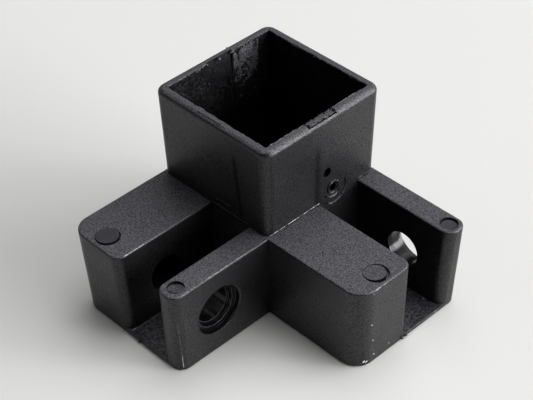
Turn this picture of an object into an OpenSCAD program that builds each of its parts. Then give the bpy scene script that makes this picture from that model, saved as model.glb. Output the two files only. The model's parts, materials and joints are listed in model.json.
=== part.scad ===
// Corner tube fitting for a folding frame, moulded in one piece.
// A square leg stands in the socket. Each of the two arms is a clevis for one truss bar, which swings
// on a pivot between a thin wall and a thick wall that holds the pivot's blind end.
// The fitting stands on its closed end: +Z is up the leg, one arm runs to +X and the other to -Y.

/* [Leg socket] */
// Side of the square leg that the socket takes
leg_w = 25; // [20:0.5:32]
// Play between the leg and the mouth of the socket, on each side
leg_play = 0.5; // [0.2:0.1:1]
// Wall of the socket at its rim
rim_wall = 1.95; // [1.5:0.05:3]
// Height of the fitting, from its closed end to the rim
socket_h = 39; // [32:0.2:60]
// Thickness of the closed end under the leg
end_t = 2; // [1:0.1:4]
// Radius of the tube's upright outer corners, at the rim
tube_r = 2.2; // [1.6:0.1:4]
// Rounding of the rim's outer edge
rim_r = 1.1; // [0.4:0.1:1.3]

/* [Arms] */
// Length of an arm from the tube's face to its end, at the top
arm_l = 23.2; // [20:0.1:40]
// Height of the arms
arm_h = 19.3; // [16:0.2:28]
// Width of the slot for the truss bar, at the top
slot_w = 10.2; // [8:0.1:13]
// Thin wall, on the side that the pivot goes in from
thin_wall = 5; // [4:0.1:7]
// Floor that closes the slot below
floor_t = 1.1; // [0.8:0.1:3]
// Radius of the thick wall's end corner on the outside, at the top
outer_corner_r = 3.9; // [2:0.1:5]
// Radius of the thick wall's end corner beside the slot, at the top
slot_corner_r = 2; // [0.5:0.1:3]
// Radius of both end corners of the thin wall, at the top
thin_corner_r = 2.2; // [1:0.1:2.4]
// Rounding of the arms' top edges
edge_r = 0.4; // [0.2:0.1:0.8]

/* [Pivot bores] */
// Bore for the pivot
pivot_d = 7.3; // [5:0.1:8.2]
// Distance of the pivot from the tube's face
pivot_reach = 12.2; // [10:0.1:16]
// Height of the pivot above the closed end
pivot_z = 9.65; // [8:0.05:12]
// Depth of the pivot's blind end in the thick wall
blind_depth = 9.5; // [4:0.1:11]
// Seat for the pivot's head, at the mouth
head_d = 10.2; // [9.4:0.1:12]
// Depth of the head's seat
head_depth = 1.25; // [0.5:0.05:2]
// Step between the head's seat and the bore
step_d = 8.4; // [8.3:0.1:9.2]
// Depth of the step's floor from the mouth
step_depth = 2.2; // [2.1:0.1:3]
// Chamfer round the mouth of the head's seat
mouth_chamfer = 0.25; // [0.1:0.05:0.4]

/* [Leg screw] */
// Hole for the screw that keeps the leg in
leg_screw_d = 1.7; // [1.5:0.1:4]
// Height of the hole above the closed end
leg_screw_z = 26.2; // [23:0.1:30]
// Place of the hole across the tube's face
leg_screw_y = 0.9; // [-4:0.1:4]

/* [Draft] */
// Draft of the upright outer faces, which narrow towards the closed end
side_draft = 1.6; // [0.5:0.1:2]
// Draft of the arms' end faces
end_draft = 3.2; // [0.5:0.1:4]
// Draft of the slot's walls, which close in towards the floor
slot_draft = 1.6; // [0.5:0.1:2]
// Draft of the socket's inside
socket_draft = 0.5; // [0.2:0.1:1]
// Chamfer round the closed end's edge
foot_chamfer = 0.3; // [0.1:0.1:0.6]

/* [Ejector marks] */
// Pin mark on the thick walls
big_pin_d = 4.4; // [3:0.1:6]
// Pin mark on the thin walls
small_pin_d = 3.2; // [2:0.1:3.6]
// How far a mark stands up from a thick wall, or sinks into a thin one
pin_mark_t = 0.15; // [0.05:0.05:0.3]
// Distance of a thick wall's mark from the arm's end
big_pin_inset = 3.1; // [2.6:0.1:6]
// Distance of a thin wall's mark from the arm's end
small_pin_inset = 2.5; // [2:0.1:6]

/* [Hidden] */

mould_black = "#2a2a2d";
skin = 0.02;                                        // thickness of the slices that a hull is drawn over
over = 1;                                           // how far a cut runs past the surface it opens
rounding_steps = 4;

mouth_w = leg_w + 2 * leg_play;
rim_half = mouth_w / 2 + rim_wall;
tube_shift = socket_h * tan(side_draft);            // how far a face of the tube leans in from rim to foot
side_shift = arm_h * tan(side_draft);               // the same for an outer face of an arm
end_shift = arm_h * tan(end_draft);
slot_shift = (arm_h - floor_t) * tan(slot_draft);
half_w = rim_half - tube_shift + side_shift;        // half the tube's width at the arms' top
foot_half = rim_half - tube_shift;
thin_r = min(thin_corner_r, 0.45 * thin_wall);
thick_wall = 2 * half_w - slot_w - thin_wall;

root_x = half_w - tube_r;                           // an arm's walls start where the tube's corner rounding does
arm_end = half_w + arm_l;
arm_foot_end = arm_end - end_shift;
slot_low_y = -half_w + thick_wall;                  // the slot's two walls, at the arm's top
slot_high_y = half_w - thin_wall;
pivot_x = half_w + pivot_reach;
pivot_face_y = half_w - (arm_h - pivot_z) * tan(side_draft);
slot_low_y_at_pivot = slot_low_y + (arm_h - pivot_z) * tan(slot_draft);

// A block whose four upright faces each have their own draft. x and y hold its low and high faces at the
// top, foot_x and foot_y the same faces at the foot, and radii the corners' radii at the top, as
// [low y, high y] for the low and the high x. The radii shrink towards the foot by shift, as the faces do.
module drafted_block(x, y, foot_x, foot_y, radii, h, edge, shift) {
    hull()
        for (i = [0, 1], j = [0, 1])
            upright_corner([x[i], y[j]], [foot_x[i], foot_y[j]], [1 - 2 * i, 1 - 2 * j], radii[i][j], h, edge, shift);
}

// One corner of a drafted block, as thin slices for its hull: chamfered at the foot and rounded over at
// the top. inward is the direction from the corner's point into the block, as [+-1, +-1].
module upright_corner(top, foot, inward, r, h, edge, shift) {
    foot_r = r > 0 ? max(r - shift, 2 * foot_chamfer) : 0;
    slice(foot, inward, foot_r, 0, foot_chamfer);
    slice(foot, inward, foot_r, foot_chamfer, 0);
    for (step = [0 : rounding_steps]) {
        angle = 90 * step / rounding_steps;
        slice(top, inward, r, h - edge * (1 - sin(angle)) - skin, edge * (1 - cos(angle)));
    }
}

// A slice of a corner at height z, drawn in by inset. A corner of no radius is a small square.
module slice(point, inward, r, z, inset) {
    if (r > 0)
        translate([point.x + inward.x * r, point.y + inward.y * r, z])
            cylinder(r = r - inset, h = skin, $fn = 32);
    else
        translate([point.x, point.y + inward.y * (inset + skin / 2) - skin / 2, z])
            cube(skin);
}

module tube_body() {
    drafted_block([-rim_half, rim_half], [-rim_half, rim_half], [-foot_half, foot_half], [-foot_half, foot_half],
                  [[tube_r, tube_r], [tube_r, tube_r]], socket_h, rim_r, tube_shift);
}

module leg_socket() {
    depth = socket_h - end_t;
    bottom_w = mouth_w - 2 * depth * tan(socket_draft);
    over_w = mouth_w + 2 * over * tan(socket_draft);
    translate([0, 0, end_t])
        linear_extrude(height = depth + over, scale = over_w / bottom_w)
            square(bottom_w, center = true);
}

module thick_wall_block() {
    drafted_block([root_x, arm_end], [-half_w, slot_low_y],
                  [root_x - side_shift, arm_foot_end], [-half_w + side_shift, slot_low_y + slot_shift],
                  [[0, 0], [outer_corner_r, slot_corner_r]], arm_h, edge_r, side_shift);
}

module thin_wall_block() {
    drafted_block([root_x, arm_end], [slot_high_y, half_w],
                  [root_x - side_shift, arm_foot_end], [slot_high_y - slot_shift, half_w - side_shift],
                  [[0, 0], [thin_r, thin_r]], arm_h, edge_r, side_shift);
}

// The floor under the slot, which also carries the walls' rounded corners beside the slot
module slot_floor() {
    low_y = slot_low_y + slot_shift - slot_corner_r;
    high_y = slot_high_y - slot_shift + thin_r;
    lip_x = arm_foot_end + end_shift * (floor_t - foot_chamfer) / (arm_h - edge_r - foot_chamfer);
    side_profile(low_y, high_y, [[root_x, 0], [arm_foot_end - foot_chamfer, 0], [arm_foot_end, foot_chamfer],
                                 [lip_x, floor_t], [root_x, floor_t]]);
}

// The slot's end wall at the tube, which leans out towards the floor
module slot_end() {
    side_profile(slot_low_y, slot_high_y, [[root_x, 0], [half_w + slot_shift, 0], [half_w + slot_shift, floor_t],
                                           [half_w, arm_h], [root_x, arm_h]]);
}

// An outline in X and Z, drawn along Y from one face to the other
module side_profile(from, to, points) {
    translate([0, to, 0])
        rotate([90, 0, 0])
            linear_extrude(height = to - from)
                polygon(points);
}

// The bore through the thin wall and into the thick one, with its step and the head's seat. Its outline is
// drawn as [radius, y], from the blind end to beyond the thin wall's outer face.
module pivot_bore() {
    blind_y = slot_low_y_at_pivot - blind_depth;
    step_y = pivot_face_y - step_depth;
    seat_y = pivot_face_y - head_depth;
    chamfer_y = pivot_face_y - mouth_chamfer;
    beyond = over + mouth_chamfer;
    translate([pivot_x, 0, pivot_z])
        rotate([-90, 0, 0])
            rotate_extrude($fn = 64)
                polygon([[0, blind_y], [pivot_d / 2, blind_y], [pivot_d / 2, step_y], [step_d / 2, step_y],
                         [step_d / 2, seat_y], [head_d / 2, seat_y], [head_d / 2, chamfer_y],
                         [head_d / 2 + beyond, chamfer_y + beyond], [0, chamfer_y + beyond]]);
}

// A hole for the screw that keeps the leg in its socket, through the tube's face over one arm
module leg_screw_hole() {
    translate([half_w - rim_wall - over, leg_screw_y, leg_screw_z])
        rotate([0, 90, 0])
            cylinder(d = leg_screw_d, h = rim_wall + 2 * over, $fn = 32);
}

module arm_body() {
    thick_wall_block();
    thin_wall_block();
    slot_floor();
    slot_end();
    translate([arm_end - big_pin_inset, (slot_low_y - half_w) / 2, arm_h - over])
        cylinder(d = big_pin_d, h = over + pin_mark_t, $fn = 48);
}

module arm_cuts() {
    pivot_bore();
    translate([arm_end - small_pin_inset, half_w - thin_wall / 2, arm_h - pin_mark_t])
        cylinder(d = small_pin_d, h = over, $fn = 48);
}

// Both arms are the same, a quarter turn apart
module each_arm() {
    for (turn = [0, -90])
        rotate([0, 0, turn])
            children();
}

module corner_fitting() {
    color(mould_black)
        difference() {
            union() {
                tube_body();
                each_arm() arm_body();
            }
            leg_socket();
            leg_screw_hole();
            each_arm() arm_cuts();
        }
}

corner_fitting();
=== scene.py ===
"""Looks of a corner tube fitting, moulded in black glass-filled nylon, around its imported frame."""

import json
import logging
import math
import random
from dataclasses import dataclass
from enum import Enum
from typing import Any, Callable, Iterable, Optional, Sequence

import bmesh
import bpy
from bpy.types import ID, Material, Mesh, Node, NodeSocket, NodeTree, Object
from mathutils import Matrix, Vector, noise

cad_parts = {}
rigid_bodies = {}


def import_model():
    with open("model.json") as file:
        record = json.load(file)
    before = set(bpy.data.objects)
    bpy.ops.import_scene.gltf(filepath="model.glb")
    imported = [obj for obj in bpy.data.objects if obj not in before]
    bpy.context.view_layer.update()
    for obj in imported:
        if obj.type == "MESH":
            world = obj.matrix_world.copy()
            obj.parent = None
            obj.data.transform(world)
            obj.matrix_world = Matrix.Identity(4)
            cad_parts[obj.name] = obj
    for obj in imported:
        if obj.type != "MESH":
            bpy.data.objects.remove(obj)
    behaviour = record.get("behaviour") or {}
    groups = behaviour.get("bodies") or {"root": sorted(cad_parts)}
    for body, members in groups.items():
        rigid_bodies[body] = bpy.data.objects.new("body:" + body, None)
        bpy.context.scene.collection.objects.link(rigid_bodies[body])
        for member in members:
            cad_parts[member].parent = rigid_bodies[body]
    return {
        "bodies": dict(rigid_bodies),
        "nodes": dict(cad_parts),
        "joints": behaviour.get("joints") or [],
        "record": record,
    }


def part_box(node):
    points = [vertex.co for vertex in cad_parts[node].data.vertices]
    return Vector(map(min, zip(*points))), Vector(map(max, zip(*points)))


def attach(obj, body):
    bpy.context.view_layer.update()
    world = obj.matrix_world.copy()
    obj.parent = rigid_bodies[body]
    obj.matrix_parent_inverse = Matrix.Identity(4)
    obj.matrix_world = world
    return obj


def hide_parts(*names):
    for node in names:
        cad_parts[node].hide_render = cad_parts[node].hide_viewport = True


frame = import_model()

MM = 0.001
NODE = "corner_fitting"
BODY = "root"
PHOTO_WIDTH = 533
SENSOR_WIDTH = 36.0
FLOOR_HALF = 3.0

log = logging.getLogger("corner_fitting")

Point2 = tuple[float, float]
Point3 = tuple[float, float, float]
Ring = list[Vector]


class Turn(Enum):
    """Where an arm stands: the angle about Z from the arm that runs to +X."""

    RIGHT_ARM = 0.0
    LEFT_ARM = -90.0

    def matrix(self) -> Matrix:
        """Returns the turn as a matrix about Z."""
        return Matrix.Rotation(math.radians(self.value), 4, "Z")


class Finish(Enum):
    """The moulding's surfaces, in the order of its material slots."""

    SIDE = 0
    TOP = 1
    CORE = 2
    POLISHED = 3
    PIN_FACE = 4
    HOLE_SHADE = 5
    SLOT_FLOOR = 6


class Shape(Enum):
    """What a stamp is made of, in the order of the stamp tree's switch."""

    BLADE = 0
    DISC = 1
    CRUMB = 2


@dataclass(frozen=True)
class Stamp:
    """One small solid on the moulding, in millimetres and degrees."""

    place: Point3
    size: Point3
    spin: Point3 = (0.0, 0.0, 0.0)

    def turned(self, turn: Turn) -> "Stamp":
        """Returns the stamp carried to another arm."""
        place = turn.matrix() @ Vector(self.place)
        return Stamp(tuple(place), self.size, (self.spin[0], self.spin[1], self.spin[2] + turn.value))


@dataclass(frozen=True)
class Hairline:
    """One fine line that follows the moulding's surface, in millimetres."""

    points: tuple[Point3, ...]

    def turned(self, turn: Turn) -> "Hairline":
        """Returns the line carried to another arm."""
        return Hairline(tuple(tuple(turn.matrix() @ Vector(point)) for point in self.points))


@dataclass
class FittingSizes:
    """Sizes of the fitting in millimetres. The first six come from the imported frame."""

    rim_half: float
    height: float
    arm_end: float
    pivot_x: float
    pivot_z: float
    pivot_r: float
    arm_h: float = 19.3
    mouth_half: float = 13.0
    socket_floor: float = 2.0
    slot_w: float = 10.2
    thin_wall: float = 5.0
    floor_t: float = 1.1
    tube_r: float = 2.2
    rim_r: float = 1.1
    outer_r: float = 3.9
    slot_r: float = 2.0
    thin_r: float = 2.2
    edge_r: float = 0.4
    foot_chamfer: float = 0.3
    head_r: float = 5.1
    head_depth: float = 1.25
    step_r: float = 4.2
    step_depth: float = 2.2
    mouth_chamfer: float = 0.25
    blind_depth: float = 9.5
    side_draft: float = math.tan(math.radians(1.6))
    end_draft: float = math.tan(math.radians(3.2))
    slot_draft: float = math.tan(math.radians(1.6))
    socket_draft: float = math.tan(math.radians(0.5))
    corner_shrink: float = 0.3

    @classmethod
    def from_frame(cls, loaded: dict[str, Any]) -> "FittingSizes":
        """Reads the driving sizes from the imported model.


        Returns:
            The sizes in millimetres.
        """
        low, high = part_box(NODE)
        mounts = {mount["name"]: mount for mount in loaded["record"]["mounts"]}
        pivot = mounts["truss_pivot_x_arm"]
        return cls(
            rim_half=-low.x / MM,
            height=high.z / MM,
            arm_end=high.x / MM,
            pivot_x=pivot["pos_m"][0] / MM,
            pivot_z=pivot["pos_m"][2] / MM,
            pivot_r=pivot["dims"]["r_mm"],
        )

    @property
    def half(self) -> float:
        """Returns half the tube's width at the arms' top."""
        return self.tube_half(self.arm_h)

    def tube_half(self, z: float) -> float:
        """Returns half the tube's width at height z."""
        return self.rim_half - (self.height - z) * self.side_draft

    def end_x(self, z: float) -> float:
        """Returns where an arm's end face is at height z."""
        return self.arm_end - (self.arm_h - z) * self.end_draft

    def slot_low(self, z: float) -> float:
        """Returns the thick wall's slot face at height z."""
        return self.half - self.thin_wall - self.slot_w + (self.arm_h - z) * self.slot_draft

    def slot_high(self, z: float) -> float:
        """Returns the thin wall's slot face at height z."""
        return self.half - self.thin_wall - (self.arm_h - z) * self.slot_draft

    def radius(self, at_top: float, z: float, top: float) -> float:
        """Returns an upright corner's radius at height z, which the draft shrinks towards the foot."""
        return max(at_top - (top - z) * self.side_draft * self.corner_shrink, 0.6)


def link_new(name: str, data: ID) -> Object:
    """Makes an object from its data and links it to the scene.

    Args:
        name: Its name.
        data: Its mesh, lamp or camera.

    Returns:
        The object.
    """
    made = bpy.data.objects.new(name, data)
    bpy.context.scene.collection.objects.link(made)
    return made


class SolidBuilder:
    """Builds closed meshes from stacked outlines and turned profiles, in millimetres."""

    ARC_STEPS = 14
    EDGE_STEPS = 6
    TURNED_STEPS = 96

    @staticmethod
    def outline(points: Sequence[Point2], radii: Sequence[float], z: float, steps: int = ARC_STEPS) -> Ring:
        """Makes one closed outline with rounded corners.

        Args:
            points: The corners' points, anticlockwise.
            radii: Each corner's radius; 0 leaves it sharp, with a single point.
            z: The outline's height.
            steps: Parts that a rounded corner has.

        Returns:
            The outline's points. Corners with the same radii give as many points at every height.
        """
        ring: Ring = []
        count = len(points)
        for index, (point, radius) in enumerate(zip(points, radii)):
            here = Vector(point)
            if radius <= 0:
                ring.append(Vector((here.x, here.y, z)))
                continue
            back = (Vector(points[index - 1]) - here).normalized()
            ahead = (Vector(points[(index + 1) % count]) - here).normalized()
            half_angle = back.angle(ahead) / 2
            middle = (back + ahead).normalized()
            centre = here + middle * (radius / math.sin(half_angle))
            start = here + back * (radius / math.tan(half_angle)) - centre
            sweep = math.pi - 2 * half_angle
            turn = 1.0 if back.x * ahead.y - back.y * ahead.x < 0 else -1.0
            for step in range(steps + 1):
                spoke = start.copy()
                spoke.rotate(Matrix.Rotation(turn * sweep * step / steps, 2))
                ring.append(Vector((centre.x + spoke.x, centre.y + spoke.y, z)))
        return ring

    @classmethod
    def square(cls, half: float, radius: float, z: float, steps: int = ARC_STEPS) -> Ring:
        """Makes a square outline about the axis, with rounded corners."""
        corners = [(-half, -half), (half, -half), (half, half), (-half, half)]
        return cls.outline(corners, [radius] * 4, z, steps)

    @staticmethod
    def divided(ring: Ring, longer_than: float = 5.0, parts: int = 60) -> Ring:
        """Splits an outline's long sides into equal parts.

        Args:
            ring: The outline.
            longer_than: Longest side that stays whole.
            parts: Parts of a split side.

        Returns:
            The finer outline.
        """
        fine: Ring = []
        for index, point in enumerate(ring):
            after = ring[(index + 1) % len(ring)]
            fine.append(point)
            if (after - point).length > longer_than:
                fine.extend(point.lerp(after, step / parts) for step in range(1, parts))
        return fine

    @staticmethod
    def stack(rings: Sequence[Ring]) -> bmesh.types.BMesh:
        """Joins outlines of equal length from the lowest to the highest, and closes both ends.

        Args:
            rings: The outlines.

        Returns:
            The closed mesh.
        """
        mesh = bmesh.new()
        rows = [[mesh.verts.new(point) for point in ring] for ring in rings]
        count = len(rings[0])
        for low, high in zip(rows, rows[1:]):
            for index in range(count):
                after = (index + 1) % count
                mesh.faces.new((low[index], low[after], high[after], high[index]))
        mesh.faces.new(list(reversed(rows[0])))
        mesh.faces.new(rows[-1])
        bmesh.ops.recalc_face_normals(mesh, faces=mesh.faces)
        return mesh

    @classmethod
    def turned(cls, profile: Sequence[Point2]) -> bmesh.types.BMesh:
        """Turns a profile about Y.

        Args:
            profile: Points as (radius, y). Its first and last rounds are closed flat.

        Returns:
            The closed mesh.
        """
        angles = [math.tau * step / cls.TURNED_STEPS for step in range(cls.TURNED_STEPS)]
        return cls.stack([[Vector((radius * math.cos(a), along, radius * math.sin(a))) for a in angles]
                          for radius, along in profile])

    @staticmethod
    def rounding(radius: float, steps: int = EDGE_STEPS) -> list[Point2]:
        """Works out the levels of a rounded edge.

        Args:
            radius: The edge's radius.
            steps: Parts that the rounding has.

        Returns:
            Each level as (drop below the top, inset), from the lower end to the upper.
        """
        levels = []
        for step in range(steps + 1):
            angle = math.pi / 2 * step / steps
            levels.append((radius * (1 - math.sin(angle)), radius * (1 - math.cos(angle))))
        return levels

    @staticmethod
    def to_object(mesh: bmesh.types.BMesh, name: str, turn: Optional[Matrix] = None) -> Object:
        """Turns a millimetre mesh into an object in metres, with its place in its mesh.

        Args:
            mesh: The mesh, which is freed.
            name: The object's name.
            turn: A matrix in millimetres to apply first.

        Returns:
            The object, at the origin.
        """
        bmesh.ops.transform(mesh, matrix=Matrix.Scale(MM, 4) @ (turn or Matrix.Identity(4)), verts=mesh.verts)
        data = bpy.data.meshes.new(name)
        mesh.to_mesh(data)
        mesh.free()
        return link_new(name, data)

    @staticmethod
    def combine(body: Object, tools: Iterable[Object], operation: str) -> None:
        """Joins tools to a body or cuts them from it, and removes them.

        Args:
            body: The object that changes.
            tools: The closed objects.
            operation: UNION or DIFFERENCE.
        """
        for tool in tools:
            modifier = body.modifiers.new("combine", "BOOLEAN")
            modifier.object = tool
            modifier.operation = operation
            modifier.solver = "MANIFOLD"
            graph = bpy.context.evaluated_depsgraph_get()
            result = bpy.data.meshes.new_from_object(body.evaluated_get(graph))
            body.modifiers.clear()
            old = body.data
            body.data = result
            bpy.data.meshes.remove(old)
            bpy.data.objects.remove(tool)


def hex_to_linear(code: str) -> tuple[float, float, float, float]:
    """Turns an sRGB hex colour into linear RGBA.

    Args:
        code: The colour, as "#rrggbb".

    Returns:
        Red, green, blue and 1.
    """
    channels = [int(code[index:index + 2], 16) / 255 for index in (1, 3, 5)]
    linear = [c / 12.92 if c <= 0.04045 else ((c + 0.055) / 1.055) ** 2.4 for c in channels]
    return (linear[0], linear[1], linear[2], 1.0)


def add_node(tree: NodeTree, kind: str, settings: Optional[dict[str, Any]] = None,
             inputs: Optional[dict[Any, Any]] = None) -> Node:
    """Adds a node with its settings and links.

    Args:
        tree: The tree that it goes into.
        kind: The node's type.
        settings: Its properties.
        inputs: Values or output sockets, by the input's name or number.

    Returns:
        The node.
    """
    node = tree.nodes.new(kind)
    for name, value in (settings or {}).items():
        setattr(node, name, value)
    for key, value in (inputs or {}).items():
        if isinstance(value, NodeSocket):
            tree.links.new(value, node.inputs[key])
        else:
            node.inputs[key].default_value = value
    return node


def emptied_tree(owner: ID) -> NodeTree:
    """Gives a material or a world an empty node tree.

    Args:
        owner: The material or world.

    Returns:
        The tree.
    """
    owner.use_nodes = True
    owner.node_tree.nodes.clear()
    return owner.node_tree


class MarkTrees:
    """Geometry Nodes trees for what repeats on the moulding or follows a line on it, in millimetres."""

    CAP_SIDES = 44
    FINE_LINE = 0.3
    FINE_SIDES = 8
    WIDE_SIDES = 64
    STRAY_SCALE = 1.7

    @staticmethod
    def new_tree(name: str, sizes: Sequence[tuple[str, str]]) -> tuple[NodeTree, Node]:
        """Starts a tree.

        Args:
            name: Its name.
            sizes: Each named input, with its socket's type.

        Returns:
            The tree and its input node.
        """
        tree = bpy.data.node_groups.new(name, "GeometryNodeTree")
        tree.interface.new_socket("Geometry", in_out="INPUT", socket_type="NodeSocketGeometry")
        for label, kind in sizes:
            tree.interface.new_socket(label, in_out="INPUT", socket_type=kind)
        tree.interface.new_socket("Geometry", in_out="OUTPUT", socket_type="NodeSocketGeometry")
        return tree, add_node(tree, "NodeGroupInput")

    @staticmethod
    def finish_tree(tree: NodeTree, shapes: NodeSocket, given: Node) -> None:
        """Ends a tree: roughens the shapes, makes them real and gives them their material.

        Args:
            tree: The tree.
            shapes: The shapes.
            given: The tree's input node.
        """
        real = add_node(tree, "GeometryNodeRealizeInstances", {}, {"Geometry": shapes})
        swirl = add_node(tree, "ShaderNodeTexNoise", {"noise_dimensions": "4D"},
                         {"Scale": MarkTrees.STRAY_SCALE, "Detail": 1.0, "W": given.outputs["Seed"]})
        centred = add_node(tree, "ShaderNodeVectorMath", {"operation": "SUBTRACT"},
                           {0: swirl.outputs["Color"], 1: (0.5, 0.5, 0.5)})
        offset = add_node(tree, "ShaderNodeVectorMath", {"operation": "SCALE"},
                          {0: centred.outputs["Vector"], "Scale": given.outputs["Raggedness"]})
        moved = add_node(tree, "GeometryNodeSetPosition", {},
                         {"Geometry": real.outputs["Geometry"], "Offset": offset.outputs["Vector"]})
        named = add_node(tree, "GeometryNodeSetMaterial", {},
                         {"Geometry": moved.outputs["Geometry"], "Material": given.outputs["Material"]})
        add_node(tree, "NodeGroupOutput", {}, {"Geometry": named.outputs["Geometry"]})

    @classmethod
    def stamps(cls) -> NodeTree:
        """Builds the tree that sets one small solid on each point, by its "size" and "spin".

        Returns:
            The tree.
        """
        tree, given = cls.new_tree("stamps", [("Shape", "NodeSocketInt"), ("Raggedness", "NodeSocketFloat"),
                                              ("Seed", "NodeSocketInt"), ("Material", "NodeSocketMaterial")])
        blade = add_node(tree, "GeometryNodeMeshCube", {},
                         {"Size": (1.0, 1.0, 1.0), "Vertices X": 24, "Vertices Y": 6, "Vertices Z": 2})
        disc = add_node(tree, "GeometryNodeMeshCylinder", {"fill_type": "NGON"},
                        {"Vertices": cls.CAP_SIDES, "Radius": 0.5, "Depth": 1.0})
        crumb = add_node(tree, "GeometryNodeMeshIcoSphere", {}, {"Radius": 0.5, "Subdivisions": 2})
        choice = tree.nodes.new("GeometryNodeIndexSwitch")
        choice.data_type = "GEOMETRY"
        while len(choice.index_switch_items) < len(Shape):
            choice.index_switch_items.new()
        tree.links.new(given.outputs["Shape"], choice.inputs["Index"])
        for shape, solid in zip(Shape, (blade, disc, crumb)):
            tree.links.new(solid.outputs["Mesh"], choice.inputs[str(shape.value)])
        size, spin = (add_node(tree, "GeometryNodeInputNamedAttribute", {"data_type": "FLOAT_VECTOR"},
                               {"Name": name}) for name in ("size", "spin"))
        facing = add_node(tree, "FunctionNodeEulerToRotation", {}, {"Euler": spin.outputs["Attribute"]})
        copies = add_node(tree, "GeometryNodeInstanceOnPoints", {},
                          {"Points": given.outputs["Geometry"], "Instance": choice.outputs[0],
                           "Rotation": facing.outputs["Rotation"], "Scale": size.outputs["Attribute"]})
        cls.finish_tree(tree, copies.outputs["Instances"], given)
        return tree

    @classmethod
    def hairlines(cls) -> NodeTree:
        """Builds the tree that draws a round line, closed at its ends, along each chain of edges.

        Returns:
            The tree.
        """
        tree, given = cls.new_tree("hairlines", [("Radius", "NodeSocketFloat"), ("Sides", "NodeSocketInt"),
                                                 ("Raggedness", "NodeSocketFloat"), ("Seed", "NodeSocketInt"),
                                                 ("Material", "NodeSocketMaterial")])
        path = add_node(tree, "GeometryNodeMeshToCurve", {}, {"Mesh": given.outputs["Geometry"]})
        section = add_node(tree, "GeometryNodeCurvePrimitiveCircle", {},
                           {"Resolution": given.outputs["Sides"], "Radius": given.outputs["Radius"]})
        solid = add_node(tree, "GeometryNodeCurveToMesh", {},
                         {"Curve": path.outputs["Curve"], "Profile Curve": section.outputs["Curve"],
                          "Fill Caps": True})
        cls.finish_tree(tree, solid.outputs["Mesh"], given)
        return tree

    @staticmethod
    def run(tree: NodeTree, name: str, source: Mesh, values: dict[str, Any]) -> Object:
        """Runs a tree on a millimetre mesh.

        Args:
            tree: The tree.
            name: The result's name.
            source: The points or chains.
            values: The tree's inputs by name.

        Returns:
            A plain object in metres, of closed shells with outward normals.
        """
        carrier = link_new(f"{name}_points", source)
        modifier = carrier.modifiers.new("marks", "NODES")
        modifier.node_group = tree
        keys = {item.name: item.identifier for item in tree.interface.items_tree if item.in_out == "INPUT"}
        for label, value in values.items():
            modifier[keys[label]] = value
        graph = bpy.context.evaluated_depsgraph_get()
        result = bpy.data.meshes.new_from_object(carrier.evaluated_get(graph))
        carrier.modifiers.clear()
        bpy.data.objects.remove(carrier)
        mesh = bmesh.new()
        mesh.from_mesh(result)
        bmesh.ops.remove_doubles(mesh, verts=mesh.verts, dist=1e-5)
        bmesh.ops.recalc_face_normals(mesh, faces=mesh.faces)
        made = SolidBuilder.to_object(mesh, name)
        made.data.materials.append(values["Material"])
        return made

    @classmethod
    def stamp_solids(cls, name: str, shape: Shape, stamps: Sequence[Stamp], material: Material,
                     raggedness: float = 0.0, seed: int = 1) -> Object:
        """Sets the stamps.

        Args:
            name: The result's name.
            shape: What each stamp is.
            stamps: The stamps.
            material: Their material.
            raggedness: How far their points stray, in millimetres.
            seed: The noise's seed.

        Returns:
            One plain object in metres.
        """
        source = bpy.data.meshes.new(name)
        source.from_pydata([stamp.place for stamp in stamps], [], [])
        size = source.attributes.new("size", "FLOAT_VECTOR", "POINT")
        spin = source.attributes.new("spin", "FLOAT_VECTOR", "POINT")
        for index, stamp in enumerate(stamps):
            size.data[index].vector = stamp.size
            spin.data[index].vector = [math.radians(angle) for angle in stamp.spin]
        return cls.run(cls.stamps(), name, source,
                       {"Shape": shape.value, "Raggedness": raggedness, "Seed": seed, "Material": material})

    @classmethod
    def line_solids(cls, name: str, lines: Sequence[Hairline], radius: float, material: Material,
                    raggedness: float = 0.0, seed: int = 1, spacing: float = 0.5) -> Object:
        """Draws the lines.

        Args:
            name: The result's name.
            lines: The lines.
            radius: Half their thickness, in millimetres.
            material: Their material.
            raggedness: How far their points stray, in millimetres.
            seed: The noise's seed.
            spacing: Longest step between a line's points.

        Returns:
            One plain object in metres.
        """
        points: list[Vector] = []
        edges: list[tuple[int, int]] = []
        for line in lines:
            points.append(Vector(line.points[0]))
            for start, end in zip(line.points, line.points[1:]):
                first, last = Vector(start), Vector(end)
                steps = max(1, round((last - first).length / spacing))
                for step in range(1, steps + 1):
                    edges.append((len(points) - 1, len(points)))
                    points.append(first.lerp(last, step / steps))
        source = bpy.data.meshes.new(name)
        source.from_pydata(points, edges, [])
        sides = cls.FINE_SIDES if radius < cls.FINE_LINE else cls.WIDE_SIDES
        return cls.run(cls.hairlines(), name, source,
                       {"Radius": radius, "Sides": sides, "Raggedness": raggedness, "Seed": seed,
                        "Material": material})


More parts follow.
